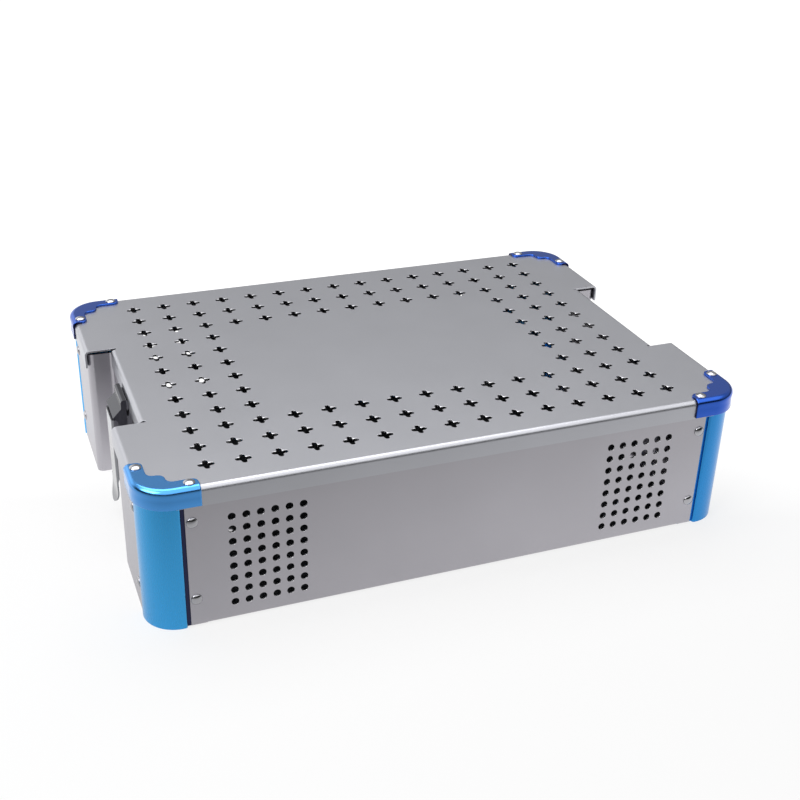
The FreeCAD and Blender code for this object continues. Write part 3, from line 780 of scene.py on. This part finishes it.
def pale_stage():
    """Large floor that glows, as painted light: white to the eye but for the shadow, and in reflections
    bright behind, running out into the dim room in front.
    """
    half_size = 6000
    glow_share = 0.75
    to_front = (-0.36, -0.93, 0)
    bm = bmesh.new()
    bmesh.ops.create_grid(bm, x_segments=1, y_segments=1, size=half_size * MM)
    mesh = bpy.data.meshes.new("floor")
    bm.to_mesh(mesh)
    bm.free()
    floor = bpy.data.objects.new("floor", mesh)
    bpy.context.scene.collection.objects.link(floor)
    made = bpy.data.materials.new("white_paper")
    made.use_nodes = True
    tree = made.node_tree
    tree.nodes.clear()
    seen, path = seen_directly(tree)
    share = add(tree, "ShaderNodeMath", {"operation": "MULTIPLY", 1: glow_share}, {0: (seen, 0)})
    spots = add(tree, "ShaderNodeTexCoord")
    front = fading(tree, (spots, "Object"), to_front, between(-0.2, 0.65, 1.28, 0.1))
    level = add(tree, "ShaderNodeMath", {"operation": "MAXIMUM"},
                {0: (front, 0), 1: (path, "Is Camera Ray")})
    paper = add(tree, "ShaderNodeBsdfDiffuse", {"Color": colour("#F4F4F4")})
    glow = add(tree, "ShaderNodeEmission", {"Color": (1, 1, 1, 1)}, {"Strength": (level, 0)})
    mixed = add(tree, "ShaderNodeMixShader", {}, {0: (share, 0), 1: (paper, 0), 2: (glow, 0)})
    add(tree, "ShaderNodeOutputMaterial", {}, {"Surface": (mixed, 0)})
    mesh.materials.append(made)


def studio_world():
    """White to the eye; in reflections a pale ceiling and left wall, and a dim room in front."""
    to_front = (-0.6, -0.8, 0)
    to_ceiling = (-0.12, -0.3, 0.946)
    to_left = (-0.5, 0.86, 0)
    world = bpy.data.worlds.new("studio")
    bpy.context.scene.world = world
    world.use_nodes = True
    tree = world.node_tree
    tree.nodes.clear()
    seen, path = seen_directly(tree)
    spots = add(tree, "ShaderNodeTexCoord")
    ways = (spots, "Generated")
    height = add(tree, "ShaderNodeSeparateXYZ", {}, {0: ways})
    front = fading(tree, ways, to_front, between(-0.15, 0.25, 0, 1))
    below = add(tree, "ShaderNodeMapRange", between(0.3, 0.6, 1, 0), {"Value": (height, "Z")})
    low_front = add(tree, "ShaderNodeMath", {"operation": "MULTIPLY"}, {0: (front, 0), 1: (below, 0)})
    dim = add(tree, "ShaderNodeMapRange", between(0, 1, 1, 0.16), {"Value": (low_front, 0)})
    wall = add(tree, "ShaderNodeMapRange", between(0.1, 0.45, 0.15, 0.5), {"Value": (height, "Z")})
    room = add(tree, "ShaderNodeMath", {"operation": "MULTIPLY"}, {0: (dim, 0), 1: (wall, 0)})
    ceiling = fading(tree, ways, to_ceiling, between(0.47, 0.7, 0, 1.0))
    left = fading(tree, ways, to_left, between(0.72, 0.93, 0, 0.9))
    topped = add(tree, "ShaderNodeMath", {"operation": "ADD"}, {0: (room, 0), 1: (ceiling, 0)})
    level = add(tree, "ShaderNodeMath", {"operation": "ADD"}, {0: (topped, 0), 1: (left, 0)})
    shown = add(tree, "ShaderNodeMix", {"data_type": "FLOAT", 3: 1.0},
                {0: (path, "Is Camera Ray"), 2: (level, 0)})
    soft = add(tree, "ShaderNodeBackground", {"Color": (1, 1, 1, 1), "Strength": 0.45})
    white = add(tree, "ShaderNodeBackground", {"Color": (1, 1, 1, 1)}, {"Strength": (shown, 0)})
    mixed = add(tree, "ShaderNodeMixShader", {}, {0: (seen, 0), 1: (soft, 0), 2: (white, 0)})
    add(tree, "ShaderNodeOutputWorld", {}, {"Surface": (mixed, 0)})


def softbox(name, spot, target, width, height, power):
    """Area light at a spot, turned to a target, in metres and watts."""
    light = bpy.data.lights.new(name, "AREA")
    light.shape = "RECTANGLE"
    light.size = width
    light.size_y = height
    light.energy = power
    lamp = bpy.data.objects.new(name, light)
    bpy.context.scene.collection.objects.link(lamp)
    lamp.location = spot
    lamp.rotation_euler = (Vector(target) - Vector(spot)).to_track_quat("-Z", "Y").to_euler()


def photo_camera():
    """Camera at the angle of the photograph, with the lens and roll that its perspective gives."""
    turn, tilt, roll = -21.94, 27.66, 1.74
    data = bpy.data.cameras.new("camera")
    data.sensor_width = 36
    data.lens = 54.26
    camera = bpy.data.objects.new("camera", data)
    bpy.context.scene.collection.objects.link(camera)
    camera.location = (-0.31943, -0.82672, 0.52795)
    turned = Matrix.Rotation(math.radians(turn), 4, "Z")
    tilted = Matrix.Rotation(math.radians(90 - tilt), 4, "X")
    rolled = Matrix.Rotation(math.radians(roll), 4, "Z")
    camera.rotation_euler = (turned @ tilted @ rolled).to_euler()
    bpy.context.scene.camera = camera


pale_stage()
studio_world()
softbox("left_box", spot=(-1.5, -0.5, 1.5), target=(0, 0, 0.05), width=1.4, height=1.0, power=20)
softbox("top_box", spot=(0.0, 0.7, 2.0), target=(0, 0, 0.1), width=2.2, height=1.4, power=18)
photo_camera()
bpy.context.scene.view_settings.view_transform = "Standard"
